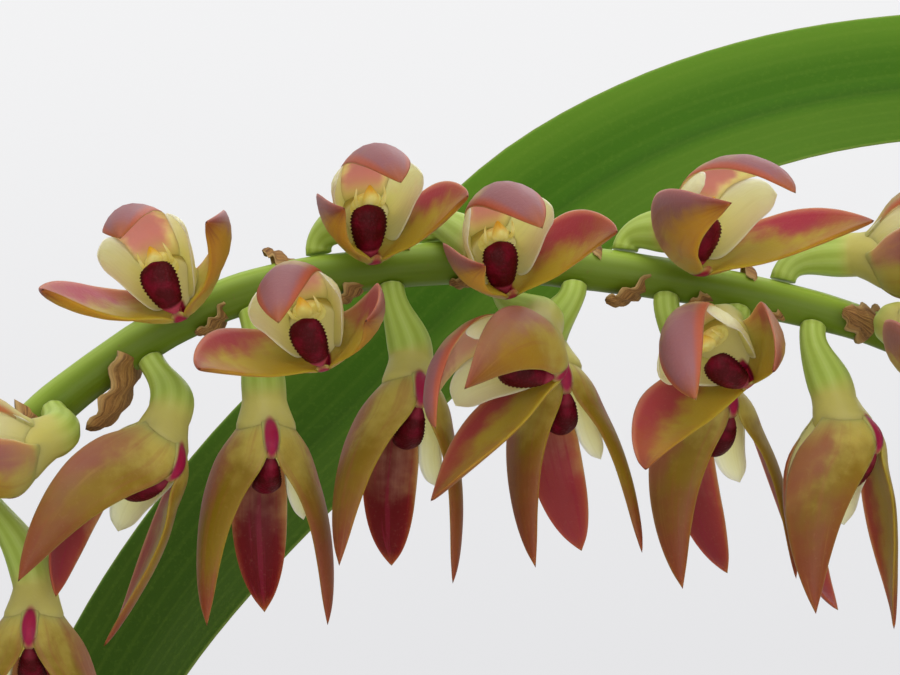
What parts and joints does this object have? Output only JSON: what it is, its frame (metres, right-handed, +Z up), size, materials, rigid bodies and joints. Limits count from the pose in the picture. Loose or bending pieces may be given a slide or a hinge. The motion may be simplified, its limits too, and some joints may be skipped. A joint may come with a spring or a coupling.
{
  "type": "potted bulbophyllum pumilum",
  "caption": "Small creeping orchid in a plain clay pot, with ridged pseudobulbs, one strap leaf each and an arching stalk of small cupped flowers.",
  "frame": {"origin": "centre of the flat underside of the pot", "axes": "+Z up along the pot's axis, +X the way the flower stalk arches, and the viewer looks along +Y"},
  "size_m": [0.1744, 0.1551, 0.2044],
  "materials": {
    "clay": "matte unglazed clay",
    "bark": "rough dry bark",
    "rhizome": "matte dry fibre",
    "bulb": "waxy green",
    "leaf": "waxy mid green",
    "stalk": "satin yellow green",
    "bloom": "satin ochre with rose"
  },
  "bodies": {
    "root": {"clay_pot": "clay", "bark_mix": "bark", "rhizome_and_roots": "rhizome", "pseudobulb_1": "bulb", "pseudobulb_2": "bulb", "pseudobulb_3": "bulb", "pseudobulb_4": "bulb", "pseudobulb_5": "bulb", "pseudobulb_6": "bulb", "pseudobulb_7": "bulb", "pseudobulb_8": "bulb", "leaf_1": "leaf", "leaf_2": "leaf", "leaf_3": "leaf", "leaf_4": "leaf", "leaf_5": "leaf", "leaf_6": "leaf", "leaf_7": "leaf", "leaf_8": "leaf", "flower_stalk": "stalk", "flower_01": "bloom", "flower_02": "bloom", "flower_03": "bloom", "flower_04": "bloom", "flower_05": "bloom", "flower_06": "bloom", "flower_07": "bloom", "flower_08": "bloom", "flower_09": "bloom", "flower_10": "bloom", "flower_11": "bloom", "flower_12": "bloom", "flower_13": "bloom", "flower_14": "bloom", "flower_15": "bloom", "flower_16": "bloom", "flower_17": "bloom", "flower_18": "bloom", "flower_19": "bloom", "flower_20": "bloom", "flower_21": "bloom", "flower_22": "bloom", "flower_23": "bloom", "flower_24": "bloom", "flower_25": "bloom"}
  },
  "joints": []
}
